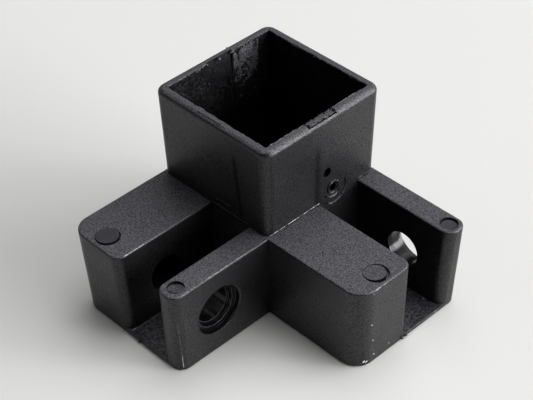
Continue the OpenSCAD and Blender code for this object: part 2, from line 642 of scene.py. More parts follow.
@dataclass(frozen=True)
class FlowStreak:
    """A dull band on an upright face, where the melt flowed together. Lengths are in millimetres."""

    across_axis: str
    face_axis: str
    face_sign: float
    low: Point2
    high: Point2
    half_width: float
    fade: float = 2.0
    face_from: float = 13.6
    gloss_left: float = 0.25

    def mask(self, tree: NodeTree, place: Node) -> NodeSocket:
        """Adds the nodes that tell how far a point lies in the streak.

        Args:
            tree: The material's tree.
            place: A Separate XYZ node on Object coordinates.

        Returns:
            A value from 0, outside, to 1, in the streak's middle.
        """
        z = place.outputs["Z"]
        middle = add_node(tree, "ShaderNodeMapRange", {},
                          {"Value": z, "From Min": self.low[1] * MM, "From Max": self.high[1] * MM,
                           "To Min": self.low[0] * MM, "To Max": self.high[0] * MM})
        off = add_node(tree, "ShaderNodeMath", {"operation": "SUBTRACT"},
                       {0: place.outputs[self.across_axis], 1: middle.outputs["Result"]})
        away = add_node(tree, "ShaderNodeMath", {"operation": "ABSOLUTE"}, {0: off.outputs[0]})
        outward = add_node(tree, "ShaderNodeMath", {"operation": "MULTIPLY"},
                           {0: place.outputs[self.face_axis], 1: self.face_sign})
        face = add_node(tree, "ShaderNodeMath", {"operation": "GREATER_THAN"},
                        {0: outward.outputs[0], 1: self.face_from * MM})
        result = face.outputs[0]
        for value, outside, inside in ((away.outputs[0], self.half_width, 0.0),
                                       (z, self.low[1] - self.fade, self.low[1]),
                                       (z, self.high[1] + self.fade, self.high[1])):
            share = add_node(tree, "ShaderNodeMapRange", {"interpolation_type": "SMOOTHSTEP"},
                             {"Value": value, "From Min": outside * MM, "From Max": inside * MM})
            result = add_node(tree, "ShaderNodeMath", {"operation": "MULTIPLY"},
                              {0: result, 1: share.outputs["Result"]}).outputs[0]
        return result


@dataclass(frozen=True)
class MouldedNylon:
    """Black glass-filled nylon. Its skin takes the tool's surface: grained by spark erosion, or polished.

    Real erosion grain is about 0.05 mm across, too fine to show, so it is drawn coarser. The clouds in the
    gloss are the glass that lies near the skin.
    """

    name: str
    colour: str = "#060607"
    pale: str = "#151517"
    roughness: Point2 = (0.4, 0.52)
    gloss: Point2 = (0.25, 0.75)
    grain_mm: float = 0.26
    grain_depth_mm: float = 0.07
    grain_strength: float = 0.7
    cloud_mm: float = 6.0
    speckle: float = 0.8
    ior: float = 1.53
    sheen: str = "#f6f6fc"
    streaks: tuple[FlowStreak, ...] = ()

    def build(self) -> Material:
        """Builds the material.

        Returns:
            The material, on Object coordinates.
        """
        material = bpy.data.materials.new(self.name)
        tree = emptied_tree(material)
        place = add_node(tree, "ShaderNodeTexCoord").outputs["Object"]
        grain, cloud = (add_node(tree, "ShaderNodeTexNoise", {"noise_dimensions": "3D"},
                                 {"Vector": place, "Scale": 1 / (size * MM), "Detail": detail,
                                  "Roughness": 0.6})
                        for size, detail in ((self.grain_mm, 2.0), (self.cloud_mm, 4.0)))
        speck = add_node(tree, "ShaderNodeMapRange", {},
                         {"Value": grain.outputs["Fac"], "From Min": 0.38, "From Max": 0.62})
        share = add_node(tree, "ShaderNodeMix", {"data_type": "FLOAT"},
                         {0: self.speckle, 2: cloud.outputs["Fac"], 3: speck.outputs["Result"]})
        tint = add_node(tree, "ShaderNodeMix", {"data_type": "RGBA"},
                        {0: share.outputs[0], 6: hex_to_linear(self.colour), 7: hex_to_linear(self.pale)})
        dullness = add_node(tree, "ShaderNodeMapRange", {},
                            {"Value": cloud.outputs["Fac"], "From Min": 0.3, "From Max": 0.7,
                             "To Min": self.roughness[0], "To Max": self.roughness[1]})
        gloss = add_node(tree, "ShaderNodeMapRange", {},
                         {"Value": share.outputs[0], "To Min": self.gloss[0], "To Max": self.gloss[1]})
        relief = add_node(tree, "ShaderNodeBump", {},
                          {"Strength": self.grain_strength, "Distance": self.grain_depth_mm * MM,
                           "Height": grain.outputs["Fac"]})
        shader = add_node(tree, "ShaderNodeBsdfPrincipled", {},
                          {"Base Color": tint.outputs[2], "Roughness": dullness.outputs["Result"],
                           "IOR": self.ior, "Specular Tint": hex_to_linear(self.sheen),
                           "Specular IOR Level": self.dulled(tree, place, gloss.outputs["Result"]),
                           "Normal": relief.outputs["Normal"]})
        add_node(tree, "ShaderNodeOutputMaterial", {}, {"Surface": shader.outputs["BSDF"]})
        return material

    def dulled(self, tree: NodeTree, place: NodeSocket,
               gloss: NodeSocket) -> NodeSocket:
        """Takes the gloss down in the streaks.

        Args:
            tree: The material's tree.
            place: The Object coordinates.
            gloss: The gloss elsewhere.

        Returns:
            The gloss with the streaks.
        """
        if not self.streaks:
            return gloss
        split = add_node(tree, "ShaderNodeSeparateXYZ", {}, {"Vector": place})
        for streak in self.streaks:
            left = add_node(tree, "ShaderNodeMapRange", {},
                            {"Value": streak.mask(tree, split), "To Min": 1.0, "To Max": streak.gloss_left})
            gloss = add_node(tree, "ShaderNodeMath", {"operation": "MULTIPLY"},
                             {0: gloss, 1: left.outputs["Result"]}).outputs[0]
        return gloss


FINISHES = {
    # Satin upright faces, with a dull streak on each where two flows of the melt met
    Finish.SIDE: MouldedNylon(
        "glass-filled nylon, fine grain", roughness=(0.32, 0.44), gloss=(0.17, 0.6), grain_strength=1.0,
        streaks=(FlowStreak("Y", "X", 1.0, (-1.6, 20.5), (-1.7, 31.0), 1.3, 4.0),
                 FlowStreak("X", "Y", -1.0, (7.6, 21.0), (6.4, 33.0), 1.0, 3.0))),
    # Upward faces get a paler copy of the same nylon, painted light from above, and a rougher eroded grain
    Finish.TOP: MouldedNylon(
        "glass-filled nylon, eroded grain, painted top light", colour="#141416", pale="#54545a", roughness=(0.45, 0.6)),
    # The core drags on the socket's walls and leaves them uneven, with little shine
    Finish.CORE: MouldedNylon(
        "glass-filled nylon, rough core", gloss=(0.1, 0.4), grain_mm=0.8, grain_depth_mm=0.25,
        grain_strength=0.9),
    # A polished pin leaves the bores smooth, with clear streaks of light
    Finish.POLISHED: MouldedNylon(
        "glass-filled nylon, polished pin", roughness=(0.21, 0.26), gloss=(0.18, 0.32), grain_strength=0.03,
        speckle=0.3),
    # A ground ejector pin leaves an even grey disc with hardly any grain
    Finish.PIN_FACE: MouldedNylon(
        "glass-filled nylon, ground pin face", colour="#1b1b20", pale="#2b2b32", roughness=(0.45, 0.55),
        grain_strength=0.15, speckle=0.3),
    # Torn nylon is matt and nearly black
    # Painted shade: the insides of the screw hole and the gate pit are nearly black and matt, with hardly any
    # gloss
    Finish.HOLE_SHADE: MouldedNylon(
        "glass-filled nylon, painted hole shade", colour="#030303", pale="#08080a", roughness=(0.7, 0.8),
        gloss=(0.0, 0.15)),
    # The slots' floors have a coarse grain that glitters; their colour is painted, darker than the tops for
    # the shade in the slots and paler than the upright faces for the light from above
    Finish.SLOT_FLOOR: MouldedNylon(
        "glass-filled nylon, coarse grain, painted slot shade", colour="#09090a", pale="#38383e", grain_mm=0.5,
        grain_depth_mm=0.15),
}
# Nylon bent at the flash turns pale grey to white; the same pale nylon also makes dust specks and painted
# highlights on some arm edges
WHITENED_AND_HIGHLIGHT = MouldedNylon("glass-filled nylon, whitened", colour="#6e6e70", pale="#b4b4b2", grain_strength=0.1)


@dataclass
class TubeSocket:
    """The square socket for the leg, with the walls round it."""

    sizes: FittingSizes
    lip: float = 0.12
    over: float = 1.0
    raggedness: float = 0.4
    corner_r: float = 0.35

    def body(self) -> Object:
        """Makes the tube's outside, rounded over at the rim.

        Returns:
            The tube, still solid.
        """
        s = self.sizes
        levels = [(0.0, s.foot_chamfer), (s.foot_chamfer, 0.0)]
        levels += [(s.height - drop, inset) for drop, inset in SolidBuilder.rounding(s.rim_r, 10)]
        rings = []
        for z, inset in levels:
            radius = s.radius(s.tube_r, z, s.height) - inset
            rings.append(SolidBuilder.square(s.tube_half(z) - inset, radius, z))
        return SolidBuilder.to_object(SolidBuilder.stack(rings), "tube")

    def cavity(self) -> Object:
        """Makes the socket's inside, as a cutter whose mouth is a little ragged.

        Returns:
            The cutter.
        """
        s = self.sizes
        floor, rim = s.socket_floor, s.height
        levels = [(floor, 0.4, 0.0), (floor + 0.12, 0.12, 0.0), (floor + 0.4, 0.0, 0.0),
                  (rim - 3.0, 0.0, 0.0), (rim - 1.2, 0.0, 0.5), (rim - self.lip, 0.0, 1.0),
                  (rim + self.over, -(self.lip + self.over), 1.0)]
        rings = []
        for z, inset, torn in levels:
            side = s.mouth_half - (rim - z) * s.socket_draft - inset
            ring = SolidBuilder.divided(SolidBuilder.square(side, self.corner_r + 0.2 * inset, z, 4))
            rings.append([self.strayed(point, torn) for point in ring])
        return SolidBuilder.to_object(SolidBuilder.stack(rings), "socket")

    def strayed(self, point: Vector, torn: float) -> Vector:
        """Moves a point of the mouth away from the axis, or towards it.

        Args:
            point: The point.
            torn: Share of the full raggedness, 0 to 1.

        Returns:
            The moved point.
        """
        coarse = noise.noise(Vector((point.x, point.y, 3.0)) * 0.7)
        fine = noise.noise(Vector((point.x, point.y, 9.0)) * 2.3)
        away = 1.0 + torn * self.raggedness * (0.6 * coarse + 0.4 * fine) / self.sizes.mouth_half
        return Vector((point.x * away, point.y * away, point.z))


@dataclass
class ClevisArm:
    """One arm: a thick and a thin wall with the truss bar's slot and the stepped pivot bore."""

    sizes: FittingSizes
    turn: Turn
    root_reach: float = 3.0
    beyond: float = 2.0
    overshoot: float = 0.01
    fillet: float = 0.25
    flank: float = 0.5
    lip: float = 0.12
    nook: float = 0.08
    blind_edge: float = 0.3

    # The tool's rings in the bore, as (distance from the slot's face, depth)
    RINGS = ((0.25, 0.05), (0.55, 0.05), (0.85, 0.04))

    def body(self) -> Object:
        """Makes the arm as one drafted block, which the slot is cut from.

        Returns:
            The block.
        """
        s = self.sizes
        levels = [(0.0, s.foot_chamfer), (s.foot_chamfer, 0.0)]
        levels += [(s.arm_h - drop, inset) for drop, inset in SolidBuilder.rounding(s.edge_r)]
        rings = []
        for z, inset in levels:
            side = s.tube_half(z) - inset
            end = s.end_x(z) - inset
            root = s.half - s.tube_r
            inner = root - self.root_reach
            corners = [(inner, self.root_reach - side), (root, -side), (end, -side),
                       (end, side), (root, side), (inner, side - self.root_reach)]
            thick, thin = (s.radius(radius, z, s.arm_h) - inset for radius in (s.outer_r, s.thin_r))
            radii = [0.0, 0.0, thick, thin, 0.0, 0.0]
            rings.append(SolidBuilder.outline(corners, radii, z))
        return SolidBuilder.to_object(SolidBuilder.stack(rings), "arm", self.turn.matrix())

    def slot(self) -> Object:
        """Makes the slot, as a cutter that flares over the walls' end corners and top edges.

        Returns:
            The cutter.
        """
        s = self.sizes
        levels = [(s.floor_t, -self.fillet), (s.floor_t + 0.3 * self.fillet, -0.3 * self.fillet),
                  (s.floor_t + self.fillet, 0.0)]
        top = s.arm_h + self.overshoot
        levels += [(top - drop, inset) for drop, inset in SolidBuilder.rounding(s.edge_r)]
        levels.append((s.arm_h + self.beyond, s.edge_r))
        rings = []
        for z, flare in levels:
            below = min(z, s.arm_h)
            low, high = s.slot_low(below) - flare, s.slot_high(below) + flare
            back = s.half + (s.arm_h - below) * s.slot_draft - min(flare, 0.0)
            tangent = s.end_x(below) + self.overshoot - flare
            far = s.arm_end + self.beyond
            low_r = s.radius(s.slot_r, below, s.arm_h) - flare
            high_r = s.radius(s.thin_r, below, s.arm_h) - flare
            under, over = low - low_r - self.flank, high + high_r + self.flank
            corners = [(back, low), (tangent, low), (tangent, under), (far, under),
                       (far, over), (tangent, over), (tangent, high), (back, high)]
            radii = [0.0, low_r, 0.0, 0.0, 0.0, 0.0, high_r, 0.0]
            rings.append(SolidBuilder.outline(corners, radii, z))
        return SolidBuilder.to_object(SolidBuilder.stack(rings), "slot", self.turn.matrix())

    def bore(self) -> Object:
        """Makes the stepped pivot bore, as a cutter turned about the pivot's axis.

        Returns:
            The cutter.
        """
        s = self.sizes
        face = s.tube_half(s.pivot_z)
        blind = s.slot_low(s.pivot_z) - s.blind_depth
        slot_face = s.slot_high(s.pivot_z)
        step = face - s.step_depth
        seat = face - s.head_depth
        over = 1.0 + s.mouth_chamfer
        rings = [(s.pivot_r + deep, slot_face + start + along) for start, deep in self.RINGS
                 for along, deep in ((0.0, 0.0), (0.05, deep), (0.13, deep), (0.18, 0.0))]
        ledges = [point for inner, y, outer in ((s.pivot_r, step, s.step_r), (s.step_r, seat, s.head_r))
                  for point in ((inner, y - self.lip), (inner + self.lip, y), (outer - self.nook, y),
                                (outer, y + self.nook))]
        mesh = SolidBuilder.turned([
            (s.pivot_r - self.blind_edge, blind), (s.pivot_r, blind + self.blind_edge), *rings, *ledges,
            (s.head_r, face - s.mouth_chamfer), (s.head_r + over, face + over - s.mouth_chamfer)])
        place = Matrix.Translation((s.pivot_x, 0.0, s.pivot_z))
        return SolidBuilder.to_object(mesh, "bore", self.turn.matrix() @ place)


@dataclass(frozen=True)
class PinMark:
    """An ejector pin's mark on a wall's top: a disc that stands in a slightly wider pocket."""

    turn: Turn
    along: float
    across: float
    pocket_d: float
    disc_d: float
    gap_towards: Point2
    rise: float
    lean: Point2
    ground: bool = True
    pocket_depth: float = 0.7
    cutter_h: float = 1.0
    stem: float = 1.4

    def pocket(self, top: float) -> Stamp:
        """Makes the pocket, as a cutter that reaches above the wall.

        Args:
            top: The wall's height.

        Returns:
            The pocket's stamp.
        """
        x, y = self.along + self.gap_towards[0], self.across + self.gap_towards[1]
        place = (x, y, top - self.pocket_depth + self.cutter_h / 2)
        return Stamp(place, (self.pocket_d, self.pocket_d, self.cutter_h)).turned(self.turn)

    def disc(self, top: float) -> Stamp:
        """Returns the disc, which reaches below the pocket."""
        place = (self.along, self.across, top + self.rise - self.stem / 2)
        return Stamp(place, (self.disc_d, self.disc_d, self.stem), (*self.lean, 0.0)).turned(self.turn)


@dataclass
class ToolMarks:
    """What the mould left on the fitting: ejector marks, the gate, creases, flash and scuffs, with pale lines
    for painted highlights on some edges.
    """

    sizes: FittingSizes
    nylon: Material
    scraped: Material
    whitened: Material
    nibs_on_side: int = 22

    # Places on the tube's +X face, as (y, z), and the holes there whose insides get painted shade, as (y, z,
    # radius)
    GATE = (2.5, 21.9)
    PAD = (2.8, 21.2)
    SCREW = (0.9, 26.2)
    TORN_HOLES = ((*SCREW, 1.05), (*GATE, 1.25))
    PARTING_RISE = 0.45
    BLADE_OUT = 0.75
    EDGE_STEP = 0.25
    PINS = (
        PinMark(Turn.RIGHT_ARM, 34.3, -7.3, 4.9, 4.2, (0.3, 0.05), 0.0, (0.0, -3.2), False),
        PinMark(Turn.RIGHT_ARM, 35.1, 11.8, 3.5, 2.8, (-0.05, 0.18), -0.2, (0.0, 0.0)),
        PinMark(Turn.LEFT_ARM, 34.3, -7.3, 4.85, 4.4, (0.05, 0.17), 0.12, (2.0, 0.0)),
        PinMark(Turn.LEFT_ARM, 34.65, 11.97, 3.3, 3.0, (0.0, -0.1), -0.33, (8.0, -8.0)),
    )

    def face_at(self, z: float) -> float:
        """Returns how far the tube's face is from the axis, also where it ends a slot."""
        s = self.sizes
        return s.tube_half(z) if z > s.arm_h else s.half + (s.arm_h - z) * s.slot_draft

    def on_right_face(self, y: float, z: float, out: float = 0.0) -> Point3:
        """Returns a point on the tube's +X face, moved outwards."""
        return (self.face_at(z) + out, y, z)

    def on_left_face(self, x: float, z: float, out: float = 0.0) -> Point3:
        """Returns a point on the tube's -Y face, moved outwards."""
        return (x, -self.face_at(z) - out, z)

    def on_arm_end(self, y: float, z: float, out: float = 0.0) -> Point3:
        """Returns a point on the right arm's end face, moved outwards."""
        return (self.sizes.end_x(z) + out, y, z)

    def wall_at(self, z: float) -> float:
        """Returns where the socket's back-left wall is at height z."""
        return -self.sizes.mouth_half + (self.sizes.height - z) * self.sizes.socket_draft

    def blade(self, along: float, length: float, width: float, top: float, bottom: float) -> Stamp:
        """Makes a flat ejector blade's footprint on the right rim.

        Args:
            along: Its middle along the rim.
            length: Its length along the rim.
            width: Its width across the rim.
            top: Its top above the rim.
            bottom: Its bottom above the rim; below it where negative.

        Returns:
            The footprint.
        """
        place = (self.sizes.mouth_half + self.BLADE_OUT, along, self.sizes.height + (top + bottom) / 2)
        return Stamp(place, (length, width, top - bottom), (0.0, 0.0, 90.0))

    def pockets(self) -> list[Object]:
        """Makes what the marks cut from the body.

        Returns:
            The cutters.
        """
        s = self.sizes
        discs = [pin.pocket(s.arm_h) for pin in self.PINS]
        blades = [self.blade(-0.2, 7.2, 1.7, 1.0, -0.6)]
        outline = [(-3.7, -13.9), (-3.5, -14.2), (2.7, -14.15)]
        groove = Hairline(tuple((x, y, s.height - 0.04) for x, y in outline))
        return [
            MarkTrees.stamp_solids("pin_pockets", Shape.DISC, discs, self.nylon),
            MarkTrees.stamp_solids("blade_pockets", Shape.BLADE, blades, self.nylon, 0.2, 4),
            MarkTrees.line_solids("blade_groove", [groove], 0.16, self.nylon, 0.04, 4),
        ]

    def lands(self) -> list[Object]:
        """Makes what stands in the marks' pockets.

        Returns:
            The solids to join to the body.
        """
        s = self.sizes
        discs = [pin.disc(s.arm_h) for pin in self.PINS]
        blades = [self.blade(-0.25, 6.3, 1.3, -0.12, -0.95)]
        return [
            MarkTrees.stamp_solids("pin_discs", Shape.DISC, discs, self.nylon),
            MarkTrees.stamp_solids("blade_lands", Shape.BLADE, blades, self.nylon, 0.24, 7),
        ]

    def torn_wall(self) -> Object:
        """Makes the wedge that is missing inside the back-left wall, as a cutter.

        Returns:
            The cutter.
        """
        s = self.sizes
        low, high = -2.8, 3.4
        rings = []
        for z, deep in ((32.5, -0.12), (s.height + 1.0, 0.62)):
            wall = -s.mouth_half - deep
            rings.append([Vector((wall, low, z)), Vector((wall + 2.0, low, z)), Vector((wall + 2.0, high, z)),
                          Vector((wall, high, z))])
        return SolidBuilder.to_object(SolidBuilder.stack(rings), "torn_wall")

    @staticmethod
    def arc_angles(start: float, end: float, steps: int) -> list[float]:
        """Returns equal steps from one angle to another, both in degrees, as radians."""
        return [math.radians(start + (end - start) * step / steps) for step in range(steps + 1)]

    def gate_ring(self, centre: Point2, radius: float, start: float, end: float, out: float) -> Hairline:
        """Makes an arc at the gate on the tube's +X face.

        Args:
            centre: Its centre, as (y, z).
            radius: Its radius.
            start: Its first angle, in degrees from +Y towards +Z.
            end: Its last angle.
            out: How far its middle stands off the face.

        Returns:
            The arc.
        """
        y, z = centre
        return Hairline(tuple(self.on_right_face(y + radius * math.cos(a), z + radius * math.sin(a), out)
                              for a in self.arc_angles(start, end, 40)))

    def gate_pad(self) -> list[Object]:
        """Makes the gate's low pad, which dips into the face at its upper left, and the ridges on it.

        Returns:
            The solids to join to the body.
        """
        pad = Stamp(self.on_right_face(*self.PAD, -0.35), (6.4, 6.6, 0.9), (1.15, 89.3, 0.0))
        ridges = [self.gate_ring(self.GATE, 1.35, 60.0, 410.0, 0.15),
                  self.gate_ring(self.GATE, 2.2, 200.0, 330.0, 0.2),
                  self.gate_ring(self.PAD, 3.1, -130.0, 20.0, 0.22)]
        return [
            MarkTrees.stamp_solids("gate_pad", Shape.DISC, [pad], self.nylon, 0.2, 3),
            MarkTrees.line_solids("gate_ridges", ridges, 0.2, self.nylon, 0.3, 5, 0.2),
        ]

    def torn_mouth(self) -> Object:
        """Makes the small nibs along the mouth's inner edge and in the right rim's blade mark.

        Returns:
            All the nibs as one object.
        """
        s = self.sizes
        chance = random.Random(31)
        stamps = []
        for side in (0.0, -90.0, 90.0, 180.0):
            turn = Matrix.Rotation(math.radians(side), 4, "Z")
            for _ in range(self.nibs_on_side):
                along = chance.uniform(-s.mouth_half + 1.0, s.mouth_half - 1.0)
                size = chance.uniform(0.25, 0.6)
                place = turn @ Vector((s.mouth_half + 0.05, along, s.height - 0.1 - size * 0.5))
                stamps.append(Stamp(tuple(place), (size, size * 1.6, size), (0.0, 0.0, side)))
        for along, length in ((-1.7, 0.9), (-2.2, 0.6), (1.05, 1.3), (0.4, 0.7), (2.9, 0.5)):
            stamps.append(Stamp((s.mouth_half - 0.1, along, s.height - 0.32), (0.6, length, 0.35)))
        for _ in range(16):
            end = chance.choice((-3.6, -2.8, 2.4, 3.2))
            place = (s.mouth_half + chance.uniform(0.1, 1.2), end + chance.uniform(-0.4, 0.4),
                     s.height - 0.35)
            size = chance.uniform(0.3, 0.5)
            stamps.append(Stamp(place, (size, size, 0.5), (0.0, 0.0, chance.uniform(0.0, 180.0))))
        return MarkTrees.stamp_solids("torn_mouth", Shape.CRUMB, stamps, self.nylon, 0.3, 13)

    def wall_smear(self) -> Object:
        """Makes the torn, paler skin high on the socket's back-left wall, from small overlapping flakes.

        Returns:
            All the flakes as one object.
        """
        chance = random.Random(15)
        stamps = []
        for _ in range(380):
            z = self.sizes.height - 0.65 - abs(chance.gauss(0.0, 3.4))
            size = chance.uniform(0.3, 0.6)
            place = (self.wall_at(z), chance.uniform(3.8, 10.0), z)
            stamps.append(Stamp(place, (0.1, size, size * chance.uniform(0.8, 1.8))))
        return MarkTrees.stamp_solids("wall_smear", Shape.CRUMB, stamps, self.scraped, 0.15, 15)

    def wall_specks(self) -> Object:
        """Makes the fine specks on the socket's back-left wall.

        Returns:
            All the specks as one object.
        """
        chance = random.Random(8)
        stamps = []
        for _ in range(50):
            z = chance.uniform(27.0, 37.0)
            size = chance.uniform(0.12, 0.25)
            stamps.append(Stamp((self.wall_at(z), chance.uniform(-12.0, 3.0), z), (0.1, size, size)))
        return MarkTrees.stamp_solids("wall_specks", Shape.CRUMB, stamps, self.scraped, 0.1, 16)

    def holes(self) -> list[Object]:
        """Makes the leg screw's hole, the gate's torn pit and the blade mark's pits, as cutters.

        Returns:
            The cutters.
        """
        screw = Stamp(self.on_right_face(*self.SCREW, -0.5), (2.0, 1.9, 4.0), (0.0, 90.0, 0.0))
        pit = Stamp(self.on_right_face(*self.GATE, 0.0), (1.9, 1.7, 2.6), (0.0, 90.0, 0.0))
        places = [(13.3, 3.3), (14.3, 3.1), (14.3, 0.1), (13.4, -3.5), (14.2, -3.6), (13.8, -3.2),
                  (13.2, 1.2)]
        pits = [Stamp((x, y, self.sizes.height - 0.1), (0.6, 0.5, 0.9)) for x, y in places]
        return [
            MarkTrees.stamp_solids("blade_pits", Shape.CRUMB, pits, self.nylon, 0.3, 6),
            MarkTrees.stamp_solids("screw_hole", Shape.DISC, [screw], self.nylon),
            MarkTrees.stamp_solids("gate_pit", Shape.DISC, [pit], self.nylon, 0.35, 8),
        ]

    def creases(self) -> list[Object]:
        """Makes the left face's crease, the moat at the gate's pad and the socket's scratches, as cutters.

        Returns:
            The cutters.
        """
        crease_r = 6.0
        course = [(7.5, 24.0, 0.01), (7.5, 28.0, -0.03), (6.8, 32.0, -0.03), (6.2, 36.0, 0.01)]
        crease = Hairline(tuple(self.on_left_face(x, z, crease_r + dip) for x, z, dip in course))
        moat = self.gate_ring(self.PAD, 3.45, -130.0, 20.0, 0.03)
        wall = -self.sizes.mouth_half + 0.02
        scratches = [Hairline(((wall, 1.5, 35.0), (wall, 2.1, 33.4), (wall, 2.7, 31.0))),
                     Hairline(((wall, 3.3, 39.0), (wall, 3.1, 35.0)))]
        return [
            MarkTrees.line_solids("crease", [crease], crease_r, self.nylon),
            MarkTrees.line_solids("pad_moat", [moat], 0.18, self.nylon, 0.15, 5, 0.2),
            MarkTrees.line_solids("scratches", scratches, 0.14, self.nylon, 0.12, 2),
        ]

    def flash(self) -> Object:
        """Makes the thin pale lines where the mould's parts met, and painted highlights along the arms' top
        edges.

        Returns:
            All the lines as one object.
        """
        s = self.sizes
        low, high = s.slot_low(s.floor_t) + 0.03, s.slot_high(s.floor_t) - 0.03
        pieces = ((-13.9, -11.9), (-11.2, -10.0), (-9.1, -6.4), (-5.4, -4.1), (-3.2, -1.1))
        lines = [self.parting(self.on_right_face, start, end) for start, end in pieces]
        lines += [
            Hairline(((36.3, low, s.floor_t + 0.03), (24.0, low, s.floor_t + 0.03))).turned(Turn.LEFT_ARM),
            Hairline(((35.0, high, s.floor_t + 0.03), (26.0, high, s.floor_t + 0.03))),
            self.worn_end(Turn.RIGHT_ARM, -9.3, -10.4), self.worn_end(Turn.RIGHT_ARM, -7.9, -8.6),
            self.worn_side(Turn.LEFT_ARM, s.half - s.edge_r * 0.5, 18.0, 33.0),
            self.worn_side(Turn.LEFT_ARM, s.slot_low(s.arm_h) - s.edge_r * 0.3, 31.0, 35.5),
            Hairline(((-3.8, -14.3, s.height - 0.14), (-3.85, -13.5, s.height - 0.08))),
            Hairline((self.on_seam(1.0, 58.0), self.on_seam(4.0, 57.0))).turned(Turn.LEFT_ARM),
            self.mouth_edge(-12.0, -4.3), self.mouth_edge(4.0, 10.0),
        ]
        return MarkTrees.line_solids("flash_lines", lines, 0.06, self.whitened, 0.1, 6, 0.3)

    def faint_flash(self) -> Object:
        """Makes the finer pale lines: faint flash, and painted highlights along the arms' top edges and on
        the left bore's ledges.

        Returns:
            All the lines as one object.
        """
        s = self.sizes
        lines = [
            Hairline(tuple(self.on_left_face(x, z) for x, z in ((0.2, 21.0), (2.6, 21.4), (4.6, 21.4)))),
            self.parting(self.on_left_face, -0.6, 9.2),
            self.parting(self.on_right_face, -13.9, -0.9), self.parting(self.on_right_face, 9.7, 13.8),
            self.worn_end(Turn.RIGHT_ARM, -2.9, -10.2),
            self.ledge(s.step_r + 0.06, s.head_depth + 0.05, 205.0, 345.0),
            self.ledge(s.pivot_r + 0.06, s.step_depth + 0.05, 215.0, 350.0),
            Hairline((self.on_left_face(7.7, 20.7), self.on_left_face(8.3, 20.7))),
            Hairline((self.on_seam(4.0, 57.0), self.on_seam(8.0, 55.0),
                      self.on_seam(13.0, 51.0))).turned(Turn.LEFT_ARM),
            self.worn_side(Turn.LEFT_ARM, s.half - s.edge_r * 0.15, 15.2, 33.5),
            self.worn_side(Turn.LEFT_ARM, s.slot_low(s.arm_h) - s.edge_r * 0.3, 15.0, 35.0),
            self.worn_side(Turn.RIGHT_ARM, s.slot_high(s.arm_h) + s.edge_r * 0.3, 30.0, 35.2),
            Hairline((self.on_arm_end(-1.0, s.floor_t - 0.03), self.on_arm_end(8.6, s.floor_t - 0.03))),
        ]
        return MarkTrees.line_solids("faint_flash", lines, 0.05, self.scraped, 0.08, 12, 0.3)

    def parting(self, face: Callable[[float, float], Point3], start: float, end: float) -> Hairline:
        """Makes a part of the parting line on one of the tube's faces."""
        level = self.sizes.arm_h + self.PARTING_RISE
        return Hairline((face(start, level), face(end, level)))

    def ledge(self, radius: float, depth: float, start: float, end: float) -> Hairline:
        """Makes a painted highlight, a pale arc, on one of the left bore's ledges.

        Args:
            radius: The ledge's radius.
            depth: Its depth from the arm's face.
            start: The arc's first angle, in degrees from the arm's end upwards.
            end: Its last angle.

        Returns:
            The arc.
        """
        s = self.sizes
        y = s.tube_half(s.pivot_z) - depth
        points = [(s.pivot_x + radius * math.cos(a), y, s.pivot_z + radius * math.sin(a))
                  for a in self.arc_angles(start, end, 30)]
        return Hairline(tuple(points)).turned(Turn.LEFT_ARM)

    def mouth_edge(self, start: float, end: float) -> Hairline:
        """Makes the light line on the mouth's edge in the right rim.

        Args:
            start: Its first place along the rim.
            end: Its last place.

        Returns:
            The line.
        """
        mouth = TubeSocket(self.sizes)
        edge, level = self.sizes.mouth_half + 0.05, self.sizes.height - 0.09
        steps = range(round((end - start) / self.EDGE_STEP) + 1)
        places = [Vector((edge, start + step * self.EDGE_STEP, level)) for step in steps]
        return Hairline(tuple(tuple(mouth.strayed(place, 1.0)) for place in places))

    def on_seam(self, z: float, angle: float) -> Point3:
        """Finds a point on the thin wall's outer end corner.

        Args:
            z: The point's height.
            angle: Its place round the corner, in degrees from the end face.

        Returns:
            The point.
        """
        s = self.sizes
        radius = s.radius(s.thin_r, z, s.arm_h)
        turn = math.radians(angle)
        return (s.end_x(z) - radius * (1 - math.cos(turn)), s.tube_half(z) - radius * (1 - math.sin(turn)), z)

    def worn_side(self, turn: Turn, across: float, start: float, end: float) -> Hairline:
        """Makes a painted highlight, a pale line, along one of an arm's long top edges."""
        level = self.sizes.arm_h - self.sizes.edge_r * 0.3
        return Hairline(((start, across, level), (end, across, level))).turned(turn)

    def worn_end(self, turn: Turn, start: float, end: float) -> Hairline:
        """Makes a painted highlight, a pale line, on the top edge of an arm's end.

        Args:
            turn: The arm.
            start: Its first place across the arm.
            end: Its last place.

        Returns:
            The line.
        """
        s = self.sizes
        inset = s.edge_r * 0.3
        places = [start + (end - start) * step / 12 for step in range(13)]
        return Hairline(tuple((s.arm_end - inset, y, s.arm_h - inset) for y in places)).turned(turn)

    def scuffs(self) -> Object:
        """Makes the white specks on the right arm's thick wall and at its slot.

        Returns:
            All the white specks as one object.
        """
        specks = [(-10.8, 10.6, 0.5), (-10.2, 6.2, 0.36), (-7.3, 17.9, 0.4), (-9.6, 2.1, 0.4),
                  (-12.2, 1.9, 0.7), (-11.5, 1.4, 0.6), (-5.5, 1.9, 0.34), (-10.9, 18.6, 0.45)]
        stamps = [Stamp(self.on_arm_end(y, z, -z / 200), (0.2, size, size * 0.7)) for y, z, size in specks]
        stamps += [Stamp((33.0, 8.3, 1.3), (0.35, 0.2, 0.3)), Stamp((36.6, 7.6, 1.0), (0.12, 0.3, 0.3))]
        return MarkTrees.stamp_solids("scuffs", Shape.CRUMB, stamps, self.whitened, 0.12, 9)

